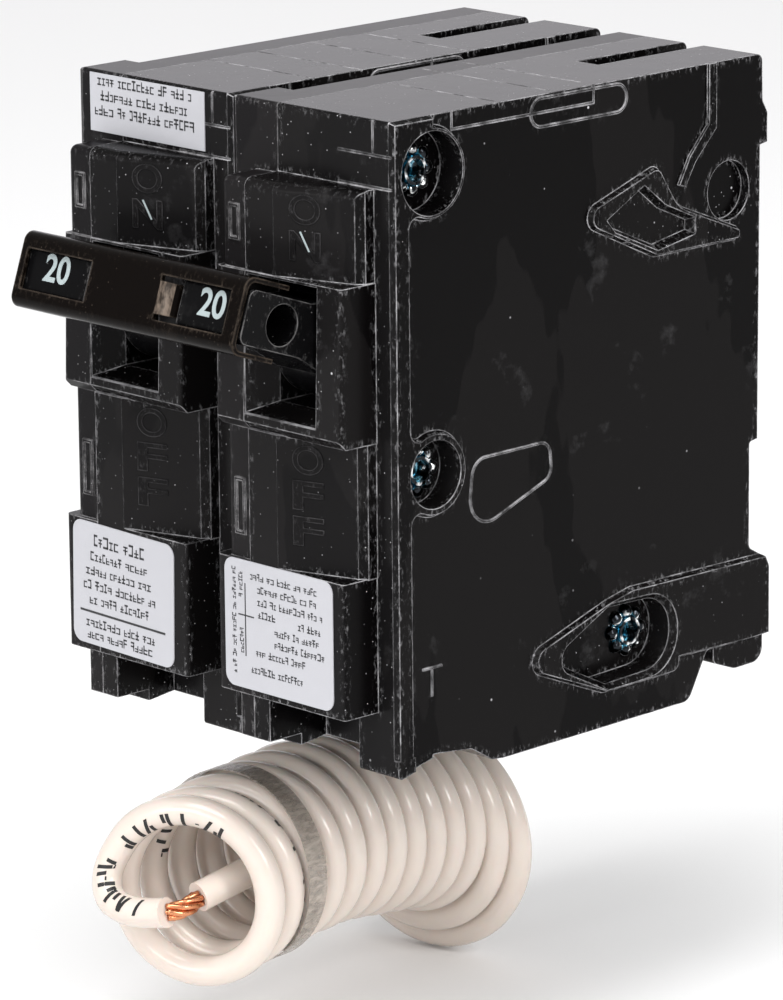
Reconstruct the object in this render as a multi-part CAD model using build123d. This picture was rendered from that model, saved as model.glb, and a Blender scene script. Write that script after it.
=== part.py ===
from build123d import *
import os
from math import cos, sin, tan, pi, radians

# Two-pole plug-in circuit breaker whose left pole switches the neutral through a coiled flexible lead.
# Shapes are drawn with x across the poles, y the depth behind the front face and z above the case bottom.
# They are saved with the origin in the plane between the poles, on the rear pads, at mid pad height.

os.makedirs("parts", exist_ok=True)

# ---------------------------------------------------------------- driving dimensions, mm
POLE = 25.4                 # width of one pole: one inch
DEPTH = 59.3                # front face to rear pads
REAR = 58.1                 # front face to the rear wall
TOP = 72.6                  # height of the case
FIELD = 0.7                 # how far the side fields lie below the rims and bosses
SEAM = 7.4                  # local x of the joint between cover and base
WALL = 1.8                  # side wall thickness under the field
PAD_Z = 9.5                 # height of the middle of the rear pads

BLOCK_LEFT = 3.4            # local x where the front blocks start on the cover
BLOCK_RIGHT = 22.4          # local x where the front blocks end on the base
NOSE_LEFT = 2.9
FRONT_BLOCK = 5.0           # how far the front blocks stand out
WEDGE_START = 11.9          # local x where the ON and OFF flags start to slope back
WEDGE_END_DEPTH = 2.0       # how far the flags stand out at their right end
ON_TOP = 65.1
NOSE_TOP = 54.9
NOSE_BOTTOM = 37.2
NOSE_CHAMFER = 1.0          # along the nose's lower front edge
LABEL_TOP = 22.3
LABEL_BOTTOM = 7.0

PIVOT_Y, PIVOT_Z = 2.6, 46.9    # handle axis
HANDLE_TILT = 19.1              # degrees above level when ON
DRUM_R = 6.2
HANDLE_TIP_R = 18.6
HANDLE_HALF = 3.0
HANDLE_X0, HANDLE_X1 = 7.9, 18.2    # the lever outside the slot
NECK_X0 = 10.4                      # the lever and drum inside the slot
TRUNNION_R = 1.6
SLOT_X1 = 18.8

TIE_X0, TIE_X1 = -18.1, 17.9
TIE_FRONT_R = 19.3
TIE_BACK_R = 12.9
TIE_HALF = 4.3
TIE_WINDOWS = [(-17.2, -6.4, 2.25), (4.9, 16.0, 2.45)]      # left and right ends, half height
TIE_THICK = 0.55

# rivets through both poles: (y, z, radius of the counterbore, depth of the counterbore)
RIVETS = [(5.8, 66.4, 4.6, 3.5), (6.0, 33.2, 3.8, 3.3), (39.3, 8.5, 4.1, 3.9)]
RIVET_R = 1.9
RIVET_BORE_R = 1.27
COLLAR_R = 1.62
STAR_R = 3.1                # rolled end of a rivet
STAR_PETALS = 8
PETAL_R = 0.92
PETAL_AT = 2.2
BLIND_HOLE = (52.9, 57.7, 3.4)

TERMINAL_X = 14.6           # local x of the load terminal
SCREW_Z = 7.2
WIRE_Y = 13.0               # where the wire enters from below
WIRE_HOLE_R = 3.0

ARM_Y, ARM_Z = 14.0, 39.0   # contact arm pivot
ARM_X0, ARM_X1 = 12.0, 16.0
CONTACT_Y, CONTACT_Z = 43.5, 33.0
CRADLE_Y, CRADLE_Z = 15.0, 62.0
TRIP_Y, TRIP_Z = 33.0, 46.8
TRIP_R = 2.0
ARMATURE_Y, ARMATURE_Z = 28.4, 31.2
STAB_X0, STAB_X1 = 13.0, 16.4       # the slot between the rear fingers

WIRE_R = 1.75               # insulated lead
CORE_R = 1.1                # bare strands
COIL_R = 9.45               # mean radius of the coil's turns

# ---------------------------------------------------------------- helpers


def block(x0, x1, y0, y1, z0, z1):
    """A box between two corners."""
    return Pos((x0 + x1) / 2, (y0 + y1) / 2, (z0 + z1) / 2) * Box(x1 - x0, y1 - y0, z1 - z0)


def prism_x(points, x0, x1):
    """An outline of (y, z) points drawn out from x0 to x1."""
    face = Plane.YZ.offset(x0) * make_face(Polyline(*points, close=True))
    return extrude(face, amount=x1 - x0, dir=(1, 0, 0))


def rounded_face(points):
    """The flat inside of an outline of (y, z, corner radius) points."""
    line = FilletPolyline(*[(y, z) for y, z, _ in points], radius=[radius for _, _, radius in points], close=True)
    return make_face(line)


def draw_x(face, x0, x1, taper=0):
    """A flat (y, z) face drawn from x0 to x1, either way, narrowing by a taper in degrees."""
    way = 1 if x1 > x0 else -1
    return extrude(Plane.YZ.offset(x0) * face, amount=abs(x1 - x0), dir=(way, 0, 0), taper=taper)


def prism_z(points, z0, z1):
    """An outline of (x, y) points drawn up from z0 to z1."""
    return extrude(Plane.XY.offset(z0) * make_face(Polyline(*points, close=True)), amount=z1 - z0, dir=(0, 0, 1))


def rod_x(y, z, r, x0, x1):
    return Pos((x0 + x1) / 2, y, z) * Rot(0, 90, 0) * Cylinder(r, x1 - x0)


def rod_y(x, z, r, y0, y1):
    return Pos(x, (y0 + y1) / 2, z) * Rot(90, 0, 0) * Cylinder(r, y1 - y0)


def rod_z(x, y, r, z0, z1):
    return Pos(x, y, (z0 + z1) / 2) * Cylinder(r, z1 - z0)


def tube_along(points, bends, r):
    """A round wire along straight runs joined by tangent arcs of the given radii."""
    path = FilletPolyline(*points, radius=bends) if bends else Polyline(*points)
    start = Plane(origin=path @ 0, z_dir=path % 0)
    return sweep(start * Circle(r), path=path)


def bend_radii(points):
    """The largest tangent arcs: 0.45 of the shorter run over the tangent of half the turn."""
    radii = []
    for before, at, after in zip(points, points[1:], points[2:]):
        run_in, run_out = Vector(*at) - Vector(*before), Vector(*after) - Vector(*at)
        turn = radians(run_in.get_angle(run_out))
        radii.append(0.45 * min(run_in.length, run_out.length) / tan(turn / 2))
    return radii


def save(name, shape, left_edge=0.0):
    """Writes one sub-part, shifted from pole coordinates to the part's own frame."""
    placed = Pos(left_edge, -DEPTH, -PAD_Z) * shape
    if len(placed.solids()) == 1:
        placed = placed.solids()[0]
    export_step(placed, f"parts/{name}.step")


# ---------------------------------------------------------------- the case

# outlines of (y, z, corner radius)
OUTLINE = [
    (0, 0.8, 0), (0, TOP, 0.4), (58.4, TOP, 0.9), (58.5, 67.2, 0.6), (DEPTH, 65.8, 0.5), (DEPTH, 62.4, 0),
    (REAR, 62.2, 0), (REAR - 0.2, 28.1, 0), (REAR - 1.5, 27.9, 0.4), (REAR - 1.5, 15.4, 0.8), (58.7, 14.2, 0.6),
    (DEPTH, 12.9, 0.8), (DEPTH, 5.0, 0), (49.6, 4.6, 0.8), (46.6, -0.8, 1.6), (16.6, -1.2, 0.8), (15.0, -1.0, 0.5),
    (11.8, 0.9, 1.0), (6.3, 1.5, 0.8),
]
CAVITY_FRONT = 2.2
CAVITY = [
    (CAVITY_FRONT, 16.0), (CAVITY_FRONT, 70.4), (36.0, 70.4), (36.0, 49.0), (56.0, 49.0), (56.0, 30.0), (54.6, 27.0),
    (54.6, 16.0), (47.0, 14.5), (43.0, 3.2), (17.5, 1.2), (17.5, 16.0),
]
TEAR_BOSS = [
    (17.8, 9.0, 1.8), (33.0, 13.8, 2.0), (36.8, 14.6, 2.0), (DEPTH + 1, 14.4, 0), (DEPTH + 1, 4.5, 0),
    (44.6, 4.8, 0), (44.6, 3.2, 1.4), (32.4, 3.1, 1.0),
]
TEAR_POCKET = [(24.4, 8.3, 1.3), (33.4, 12.8, 1.6), (43.4, 12.6, 4.05), (43.4, 4.4, 4.05), (33.0, 4.0, 0.8)]
TEAR_STEPS = [(32.7, 3.8), (29.3, 4.6)]     # the pocket is this much deeper on the near side of these depths
TRI_BOSS = [
    (27.4, 58.0, 1.6), (41.0, 62.4, 1.4), (44.3, 57.3, 4.0), (54.4, 53.3, 0.6), (54.4, 51.9, 0.6), (40.6, 51.9, 1.5),
]
TRI_POCKET = [(32.6, 57.3, 0), (38.6, 60.4, 0), (42.0, 57.7, 0), (46.8, 55.6, 0), (46.8, 53.7, 0), (40.8, 52.7, 0),
              (34.0, 55.7, 0)]
LEAF = [(12.2, 33.7, 2.2), (24.2, 33.8, 1.6), (24.6, 29.6, 1.8), (11.2, 24.7, 3.0)]
REAR_RIDGE = [(49.4, TOP), (50.6, TOP), (50.6, 65.2), (47.2, 61.8), (45.6, 59.2), (44.6, 59.5), (46.3, 62.5), (49.4, 65.8)]
LEG = [(0, -0.2, 0.5), (2.7, 0.4, 0.5), (5.9, 1.1, 0), (5.9, 2.0, 0), (0, 2.0, 0)]
RIM_DEPTH = 2.6             # the rim along the front edge of a side face
DRAFT = 25                  # slope of the bosses' and rims' sides, degrees


def rim_face():
    """The front rim of a side face, its top corner and the rings round the two front rivets, with soft inner corners."""
    face = make_face(Polyline((0, 0.9), (0, TOP), (6.3, TOP), (6.3, 66.4), (RIM_DEPTH, 66.4), (RIM_DEPTH, 0.9), close=True))
    for y, z, r, _ in RIVETS[:2]:
        face += Pos(y, z) * Circle(r + 0.6 + 0.4 * (z < 50))
    inner = [v for v in face.vertices() if abs(v.X - RIM_DEPTH) < 0.01 and 5 < v.Y < 65]
    return fillet(inner, 1.0)


def side_relief(face_x, out):
    """Rims, bosses and outlines standing proud of a side field; out is +1 on the right face and -1 on the left."""
    low_x = face_x - out * FIELD
    relief = draw_x(rim_face(), low_x, face_x, DRAFT)
    rear_boss = draw_x(rounded_face(TEAR_BOSS), low_x, face_x, DRAFT)
    relief += rear_boss & draw_x(rounded_face(OUTLINE), low_x, face_x)
    relief += draw_x(rounded_face(TRI_BOSS), low_x, face_x, DRAFT)
    relief += prism_x(REAR_RIDGE, *sorted((low_x + out * 0.35, low_x)))
    return relief


def side_marks(face_x, out):
    """Fine raised outlines on the field: a gate leaf, a long oval near the top and a strip-length line."""
    low_x = face_x - out * FIELD
    high_x = low_x + out * 0.15
    x0, x1 = sorted((low_x, high_x))
    leaf = rounded_face(LEAF)
    marks = draw_x(leaf - offset(leaf, -0.22), low_x, high_x)
    oval = Pos(28.9, 70.6) * SlotOverall(15.2, 3.4)
    marks += draw_x(oval - Pos(28.9, 70.6) * SlotOverall(14.7, 2.9), low_x, high_x)
    return marks + block(x0, x1, 5.7, 5.9, 8.2, 11.5) + block(x0, x1, 4.4, 7.3, 11.3, 11.5)


def side_pockets(face_x, out):
    """Counterbores for the rivets, the pocket beside the lower one, the blind hole and the triangular recess."""
    cuts = Part()
    for y, z, r, deep in RIVETS[:2]:
        cuts += rod_x(y, z, r, *sorted((face_x + out, face_x - out * deep)))
    pocket = rounded_face(TEAR_POCKET)
    cuts += draw_x(pocket, face_x + out, face_x - out * RIVETS[2][3])
    cuts += draw_x(offset(pocket, 0.65), face_x + out * 0.01, face_x - out * 0.8, 38)
    for depth, deep in TEAR_STEPS:
        near = pocket & Pos(depth - 10, 8) * Rectangle(20, 20)
        cuts += draw_x(near, face_x - out, face_x - out * deep)
    y, z, r = BLIND_HOLE
    cuts += rod_x(y, z, r, *sorted((face_x + out, face_x - out * 1.9)))
    cuts += draw_x(rounded_face(TRI_POCKET), face_x + out * 0.01, face_x - out * 1.2, 22)
    return cuts


def rivet_holes(x0, x1):
    holes = Part()
    for y, z, _, _ in RIVETS:
        holes += rod_x(y, z, RIVET_R + 0.05, x0, x1)
    return holes


def outer_block(x0, x1):
    """The case outline as a slab."""
    return draw_x(rounded_face(OUTLINE), x0, x1)


def posts(x0, x1, floor_x, out):
    """Bosses inside a shell: round a rivet, wider behind its counterbore and behind the blind pockets."""
    solid = Part()
    for y, z, r, _ in RIVETS:
        solid += rod_x(y, z, RIVET_R + 1.5, x0, x1)
        solid += rod_x(y, z, r + 1.0, *sorted((floor_x, floor_x - out * 2.4)))
    return solid


def rounded_block(x0, x1, z0, z1, stand, round_x, radius):
    """A front block from y = 1 to y = -stand whose upright front edge at round_x is rounded."""
    solid = block(x0, x1, -stand, 1.0, z0, z1)
    edges = [e for e in solid.edges() if abs(e.center().X - round_x) < 0.01 and abs(e.center().Y + stand) < 0.01]
    return fillet(edges, radius)


def nose(x0, x1):
    """The frame round the handle slot; its front leans forward a little towards the bottom, which is chamfered."""
    low_front = -FRONT_BLOCK - 0.6
    points = [(1.0, NOSE_BOTTOM), (low_front + NOSE_CHAMFER, NOSE_BOTTOM), (low_front, NOSE_BOTTOM + NOSE_CHAMFER),
              (-FRONT_BLOCK - 0.1, NOSE_TOP), (1.0, NOSE_TOP)]
    solid = prism_x(points, x0, x1)
    round_x = x1 if x1 > SEAM else x0
    edges = [e for e in solid.edges() if abs(e.center().X - round_x) < 0.01 and e.center().Y < -FRONT_BLOCK]
    edges = [e for e in edges if e.length > 10]
    return fillet(edges, 0.45)


def flag_wedge(z0, z1):
    """An ON or OFF flag: flat beside the seam, then sloping back to the right."""
    points = [(SEAM, 1.0), (SEAM, -FRONT_BLOCK), (WEDGE_START, -FRONT_BLOCK), (BLOCK_RIGHT - 0.8, -WEDGE_END_DEPTH - 0.1),
              (BLOCK_RIGHT, -WEDGE_END_DEPTH + 0.7), (BLOCK_RIGHT, 1.0)]
    return prism_z(points, z0, z1)


def round_top_front(solid, z, radius):
    """Rounds the upper front edges of a front block."""
    edges = [e for e in solid.edges() if abs(e.center().Z - z) < 0.01 and e.center().Y < -WEDGE_END_DEPTH + 0.5
             and e.length > 2.0]
    return fillet([e for e in edges if abs(e.tangent_at(0.5).X) > 0.5], radius)


def handle_slot():
    """Cut for the handle: open at the front, with a sloped sill and left jamb, and round for the drum behind."""
    front = block(SEAM - 0.1, SLOT_X1, -7.0, -5.4, NOSE_BOTTOM + 1.9, NOSE_TOP - 0.3)
    mouth = Plane.XZ.offset(5.45) * (Pos((SEAM + SLOT_X1) / 2, 46.9) * Rectangle(SLOT_X1 - SEAM, 15.5))
    throat = Plane.XZ.offset(2.6) * (Pos((10.1 + SLOT_X1) / 2, 47.3) * Rectangle(SLOT_X1 - 10.1, 13.8))
    funnel = loft([mouth.face(), throat.face()])
    behind = block(10.1, SLOT_X1, -2.7, CAVITY_FRONT + 0.1, 40.4, 54.2)
    drum = rod_x(PIVOT_Y, PIVOT_Z, DRUM_R + 0.35, 10.1, SLOT_X1)
    return front + funnel + behind + drum


def terminal_chamber():
    """Room for the load terminal: a channel open at the front and below, the screw hole and the wire's way in."""
    channel = prism_x([(-7, -3), (-7, LABEL_BOTTOM), (-4.9, LABEL_BOTTOM), (3.8, 10.9), (3.8, -3)], 9.9, 19.2)
    chamber = block(10.0, 19.0, 5.0, 16.4, 2.9, 13.4)
    screw_hole = rod_y(TERMINAL_X, SCREW_Z, 2.0, 3.0, 6.0)
    wire_way = rod_z(TERMINAL_X, WIRE_Y, WIRE_HOLE_R, -3, 4)
    strap_way = block(11.4, 17.6, 16.0, 18.0, 11.8, 13.0)
    return channel + chamber + screw_hole + wire_way + strap_way


def stab_slot():
    """The slot between the two rear fingers and the pocket that holds the spring jaw."""
    slot = block(STAB_X0, STAB_X1, 40.5, DEPTH + 1, 51.5, TOP + 1)
    pocket = block(STAB_X0 - 2.2, STAB_X1 + 2.2, 41.0, 55.5, 50.5, 66.5)
    passage = block(12.2, 15.8, 41.5, 46.0, 48.0, 51.0)
    return slot + pocket + passage


def hook_foot(x0, x1):
    """The rounded foot under the rear pad that hooks over the mounting rail."""
    points = [(50.5, 5.2, 0), (50.5, 2.9, 0.9), (54.0, 1.6, 2.0), (58.7, 1.7, 1.7), (58.7, 5.2, 0)]
    return draw_x(rounded_face(points), x0, x1)


def top_lines(lines):
    """Shallow grooves across the top, each (depth, left end, right end)."""
    cuts = Part()
    for depth, left, right in lines:
        cuts += block(left, right, depth - 0.11, depth + 0.11, TOP - 0.15, TOP + 1)
    return cuts


def insert_lines():
    """Shallow grooves on the right shell: at the top of the front rim and round the top of the side field."""
    cuts = block(22.2, 22.4, -1, 0.15, 69.1, TOP + 1)
    cuts += block(16.9, POLE + 1, -1, 0.15, 68.7, 68.9) + block(16.9, POLE + 1, -1, 0.15, 65.2, 65.4)
    field_x = POLE - FIELD
    cuts += block(field_x - 0.15, POLE, 9.3, 9.5, 70.6, TOP + 1) + block(field_x - 0.15, POLE, 31.1, 31.3, 70.6, TOP + 1)
    return cuts + block(field_x - 0.15, POLE, 9.3, 31.3, 70.5, 70.7)


def base_leg():
    """The short leg under the right front corner, as thick as the rim only along the front."""
    field_x = POLE - FIELD
    leg = draw_x(rounded_face(LEG), 19.2, POLE)
    return leg - block(field_x, POLE + 1, RIM_DEPTH, 7, -1, 3)


def make_base(lines):
    """The deep right-hand shell of a pole."""
    field_x = POLE - FIELD
    base = outer_block(SEAM, field_x)
    base += side_relief(POLE, 1) + side_marks(POLE, 1)
    base += nose(SEAM, BLOCK_RIGHT + 0.1)
    base += round_top_front(flag_wedge(NOSE_TOP - 0.1, ON_TOP), ON_TOP, 1.1)
    base += flag_wedge(LABEL_TOP - 0.1, NOSE_BOTTOM + 0.1)
    base += rounded_block(SEAM, BLOCK_RIGHT - 0.1, LABEL_BOTTOM, LABEL_TOP, FRONT_BLOCK, BLOCK_RIGHT - 0.1, 0.45)
    base += base_leg()
    base += block(SEAM, 9.9, -FRONT_BLOCK + 0.3, 3.8, 2.1, LABEL_BOTTOM + 0.1)
    base -= prism_x(CAVITY, SEAM - 0.1, field_x - WALL)
    base += posts(SEAM, field_x - WALL, field_x - WALL, 1)
    tear_back = [(23.0, 8.4), (33.0, 14.2), (40.5, 14.5), (40.5, 3.0), (33.0, 2.6), (23.5, 5.6)]
    base += prism_x(tear_back, field_x - WALL - 3.2, field_x - WALL)
    base += hook_foot(10.0, 24.9)
    base -= side_pockets(POLE, 1) + rivet_holes(SEAM - 1, POLE + 1)
    base -= handle_slot() + terminal_chamber() + stab_slot()
    base -= rod_x(PIVOT_Y, PIVOT_Z, TRUNNION_R + 0.05, field_x - WALL - 0.1, field_x - 0.8)
    base -= rod_x(PIVOT_Y, PIVOT_Z, TRUNNION_R + 0.5, SEAM - 0.1, field_x - WALL)
    return base - top_lines(lines) - insert_lines()


def make_cover(lines):
    """The shallow left-hand shell of a pole."""
    cover = outer_block(FIELD, SEAM)
    cover += side_relief(0, -1)
    cover += nose(NOSE_LEFT, SEAM)
    on_panel = rounded_block(BLOCK_LEFT, SEAM, NOSE_TOP - 0.1, ON_TOP - 0.2, FRONT_BLOCK - 0.25, BLOCK_LEFT, 0.8)
    cover += round_top_front(on_panel, ON_TOP - 0.2, 0.9)
    cover += rounded_block(BLOCK_LEFT, SEAM, LABEL_TOP - 0.1, NOSE_BOTTOM + 0.1, FRONT_BLOCK - 0.5, BLOCK_LEFT, 0.8)
    cover += rounded_block(1.9, SEAM, LABEL_BOTTOM, LABEL_TOP, FRONT_BLOCK, 1.9, 0.8)
    cover += block(5.3, SEAM, -FRONT_BLOCK + 0.3, 3.8, 2.1, LABEL_BOTTOM + 0.1)
    for z in (28.2, 60.0):
        cover += panel_frame(z, 6.4 if z < 50 else 4.0)
    cover -= prism_x(CAVITY, FIELD + WALL, SEAM + 0.1)
    cover += posts(FIELD + WALL, SEAM, FIELD + WALL, -1)
    cover -= side_pockets_cover() + rivet_holes(-1, SEAM + 1)
    cover -= rod_x(PIVOT_Y, PIVOT_Z, TRUNNION_R + 0.05, FIELD + 0.8, FIELD + WALL + 0.1)
    cover -= rod_x(PIVOT_Y, PIVOT_Z, TRUNNION_R + 0.5, FIELD + WALL, SEAM + 0.1)
    cover -= prism_x([(-1, -1), (-1, 1.7), (4.6, 1.7), (6.3, 1.2), (6.3, -1)], -0.1, 5.3)
    return cover - top_chamfer() - top_lines(lines)


def top_chamfer():
    """The long slope along the cover's top edge, behind the front boss."""
    across = Plane.XZ.offset(-6.4) * make_face(Polyline((-0.1, TOP - 1.2), (3.2, TOP + 0.05), (-0.1, TOP + 0.05),
                                                        close=True))
    return extrude(across, amount=DEPTH, dir=(0, 1, 0))


def panel_frame(z_mid, height):
    """A small raised oblong frame on the cover's flag panel."""
    stand = FRONT_BLOCK - 0.5 if z_mid < 50 else FRONT_BLOCK - 0.25
    frame = block(4.7, 6.3, -stand - 0.2, -stand + 0.1, z_mid - height / 2, z_mid + height / 2)
    return frame - block(5.0, 6.0, -stand - 0.3, -stand, z_mid - height / 2 + 0.35, z_mid + height / 2 - 0.35)


def side_pockets_cover():
    """Counterbores for the rivets' flat heads on the left face."""
    cuts = Part()
    for y, z, r, _ in RIVETS:
        cuts += rod_x(y, z, r - 0.4, -1, 1.4)
    return cuts


def trip_bar_holes():
    """Clearance for the common trip bar through the walls between the poles, in left-pole coordinates."""
    return rod_x(TRIP_Y, TRIP_Z, TRIP_R + 0.6, 20.0, POLE + 5)


# ---------------------------------------------------------------- rivets


def rivet_star(y, z, seat_x):
    """The rolled end of a rivet: eight rounded petals round a collar, on the floor of its counterbore."""
    star = rod_x(y, z, COLLAR_R, seat_x, seat_x + 0.95)
    for k in range(STAR_PETALS):
        star += Pos(seat_x, y, z) * Rot(360 / STAR_PETALS * k, 0, 0) * Pos(0, 0, PETAL_AT) * Sphere(PETAL_R)
    return star & rod_x(y, z, STAR_R + 0.2, seat_x, seat_x + 1.2)


def make_rivets():
    """Tubular rivets through both poles, with rolled star ends on the right and flat heads on the left."""
    group = []
    for y, z, _, deep in RIVETS:
        right = POLE - deep
        rivet = rod_x(y, z, RIVET_R, -POLE + 1.4, right) + rivet_star(y, z, right)
        rivet += rod_x(y, z, STAR_R, -POLE + 0.5, -POLE + 1.4)
        rivet -= rod_x(y, z, RIVET_BORE_R, right - 0.9, right + 2)
        group.append(rivet.solids().sort_by(SortBy.VOLUME)[-1])
    return Compound(children=group)


# ---------------------------------------------------------------- handles and tie


def on_handle(shape):
    """Turns a shape drawn with the lever along -Y to the ON position about the handle axis."""
    return Pos(0, PIVOT_Y, PIVOT_Z) * Rot(-HANDLE_TILT, 0, 0) * shape


def make_handle():
    """One pole's handle: drum, neck, lever with a tie hole, and trunnions."""
    lever = block(HANDLE_X0, HANDLE_X1, -HANDLE_TIP_R, -9.3, -HANDLE_HALF, HANDLE_HALF)
    corners = [e for e in lever.edges() if abs(e.center().Y + HANDLE_TIP_R) < 0.01 and e.length > 8]
    lever = fillet(corners, 1.0)
    back_left = [e for e in lever.edges() if abs(e.center().X - HANDLE_X0) < 0.01 and abs(e.center().Y + 9.3) < 0.01]
    lever = chamfer(back_left, 0.9)
    neck = prism_x([(-9.4, HANDLE_HALF), (-5.0, HANDLE_HALF + 1.2), (-5.0, -HANDLE_HALF - 1.2), (-9.4, -HANDLE_HALF)],
                   NECK_X0, HANDLE_X1)
    handle = lever + neck + rod_x(0, 0, DRUM_R, NECK_X0, HANDLE_X1)
    handle += rod_x(0, 0, TRUNNION_R, FIELD + 1.0, NECK_X0) + rod_x(0, 0, TRUNNION_R, HANDLE_X1, POLE - FIELD - 1.0)
    handle -= rod_x(-13.05, 0, 2.28, HANDLE_X1 - 7.0, HANDLE_X1 + 1)
    handle -= block(NECK_X0 - 1, HANDLE_X1 + 1, 3.2, 9.0, -2.0, 2.0)
    return on_handle(handle)


def make_tie():
    """The channel that caps both handles, with a window and a snap tab for each."""
    outer = block(TIE_X0, TIE_X1, -TIE_FRONT_R, -TIE_BACK_R, -TIE_HALF, TIE_HALF)
    front = [e for e in outer.edges() if abs(e.center().Y + TIE_FRONT_R) < 0.01 and e.length > 20]
    outer = fillet(front, 1.3)
    hollow = block(TIE_X0 - 1, TIE_X1 + 1, -TIE_FRONT_R + TIE_THICK, 0, -TIE_HALF + TIE_THICK, TIE_HALF - TIE_THICK)
    inner = [e for e in hollow.edges() if abs(e.center().Y + TIE_FRONT_R - TIE_THICK) < 0.01 and e.length > 20]
    tie = outer - fillet(inner, 0.9)
    for x0, x1, half in TIE_WINDOWS:
        tie -= block(x0, x1, -TIE_FRONT_R - 1, -TIE_FRONT_R + TIE_THICK + 0.1, -half, half)
    return on_handle(tie + snap_tab())


def snap_tab():
    """The curved tab bent in from the left edge of the right window to catch the handle's side."""
    left = TIE_WINDOWS[1][0]
    ring = Pos(left, -TIE_FRONT_R + 2.6, 0) * (Cylinder(2.6, 3.6) - Cylinder(2.15, 3.8))
    keep = block(left - 0.1, left + 2.7, -TIE_FRONT_R - 0.1, -TIE_FRONT_R + 2.6, -1.8, 1.8)
    return ring & keep


# ---------------------------------------------------------------- contacts and mechanism, pole coordinates


def bar_between(y0, z0, y1, z1, half, x0, x1):
    """A flat bar along a line in the side view."""
    run = Vector(y1 - y0, z1 - z0)
    side = Vector(-run.Y, run.X).normalized() * half
    return prism_x([(y0 + side.X, z0 + side.Y), (y1 + side.X, z1 + side.Y), (y1 - side.X, z1 - side.Y),
                    (y0 - side.X, z0 - side.Y)], x0, x1)


def make_arm():
    """The moving contact arm, hinged near the front on two small ears, with a flat under its tip."""
    arm = bar_between(ARM_Y, ARM_Z, CONTACT_Y + 1.5, CONTACT_Z + 3.2, 1.5, ARM_X0, ARM_X1)
    arm += rod_x(ARM_Y, ARM_Z, 2.4, ARM_X0, ARM_X1)
    arm += rod_x(ARM_Y, ARM_Z, 1.0, ARM_X0 - 1.5, ARM_X1 + 1.5)
    return arm + block(ARM_X0, ARM_X1, CONTACT_Y - 2.0, CONTACT_Y + 1.4, CONTACT_Z + 1.8, CONTACT_Z + 3.0)


def make_moving_contact():
    return rod_z(14.0, CONTACT_Y, 1.3, CONTACT_Z + 0.7, CONTACT_Z + 1.8)


def make_stationary_contact():
    return rod_z(14.0, CONTACT_Y, 1.9, CONTACT_Z - 0.6, CONTACT_Z + 0.6)


def make_cradle():
    """The trip lever that hangs from a pin and latches on the armature."""
    points = [(12.6, 61.0), (13.5, 64.0), (16.5, 64.0), (18.5, 60.5), (28.0, 48.5), (28.6, 37.5), (26.4, 37.5),
              (25.2, 46.5), (15.2, 58.5)]
    return prism_x(points, 18.9, 20.3) + rod_x(CRADLE_Y, CRADLE_Z, 1.2, 18.0, 21.6)


def make_toggle_spring():
    """The toggle spring's outer shape, from the drum's notch to the contact arm."""
    return bar_between(11.4, 50.4, 22.4, 41.8, 1.3, 13.0, 15.4)


def make_trip_bar():
    """The common trip bar through both poles, with a paddle beside each cradle."""
    bar = rod_x(TRIP_Y, TRIP_Z, TRIP_R, -POLE + 5.4, 20.0)
    for x in (-POLE + 19.0, 18.2):
        bar += block(x, x + 1.6, TRIP_Y - 3.6, TRIP_Y, TRIP_Z - 0.7, TRIP_Z + 0.7)
    return bar


def make_line_terminal(with_jaw):
    """The line strap under the stationary contact; on the protected pole it ends in a two-leaf jaw for the bus stab."""
    strap = block(12.3, 15.7, 41.3, 50.0, CONTACT_Z - 1.8, CONTACT_Z - 0.6)
    if not with_jaw:
        return strap + block(12.3, 15.7, 48.8, 50.0, CONTACT_Z - 1.8, CONTACT_Z + 6.0)
    strap += block(12.3, 15.7, 48.8, 50.0, CONTACT_Z - 1.8, 47.2)
    strap += block(12.3, 15.7, 43.4, 50.0, 46.0, 47.2)
    strap += block(12.3, 15.7, 43.4, 44.6, 46.0, 51.6)
    leaf_left, leaf_right = STAB_X0 - 1.9, STAB_X1 + 0.7
    strap += block(leaf_left, leaf_right + 1.2, 42.4, 45.6, 51.0, 52.2)
    for x, bulge in ((leaf_left, leaf_left + 1.2), (leaf_right, leaf_right)):
        strap += block(x, x + 1.2, 42.4, 55.0, 51.0, 65.5)
        strap += rod_z(bulge, 52.0, 0.9, 51.0, 65.5) & block(leaf_left, leaf_right + 1.2, 50, 55, 51.0, 65.5)
    return strap


def make_arc_plates():
    """Four U-shaped steel plates round the path of the contact arm's tip."""
    plates = []
    for z in (34.5, 37.4, 40.3, 43.2):
        plate = block(8.6, 19.8, 39.0, 48.3, z, z + 1.0) - block(11.2, 17.0, 38.0, 46.3, z - 1, z + 2)
        plates.append(plate.solids()[0])
    return Compound(children=plates)


def make_bimetal():
    return block(12.2, 16.8, 20.5, 21.5, 12.9, 35.0)


def make_yoke():
    """The magnet yoke round the bimetal strip."""
    yoke = block(9.6, 19.4, 18.2, 19.4, 17.0, 26.0)
    return yoke + block(9.6, 10.8, 19.4, 26.0, 17.0, 26.0) + block(18.2, 19.4, 19.4, 26.0, 17.0, 26.0)


def make_armature():
    """The hinged plate facing the yoke, with the ledge that holds the cradle's tip."""
    plate = block(9.8, 19.2, 27.4, 28.6, 14.8, 30.6)
    ledge = block(17.6, 20.6, 28.3, 29.4, 29.5, 37.3)
    return plate + ledge + rod_x(ARMATURE_Y, ARMATURE_Z, 1.0, 9.0, 21.6)


def make_load_strap():
    """From the terminal cage over the top of the chamber to a tab inside the case."""
    strap = block(11.6, 17.4, 10.0, 10.9, 3.4, 12.8) + block(11.6, 17.4, 10.0, 20.5, 12.0, 12.8)
    return strap + block(12.2, 16.8, 19.6, 20.5, 12.0, 16.0)


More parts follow.
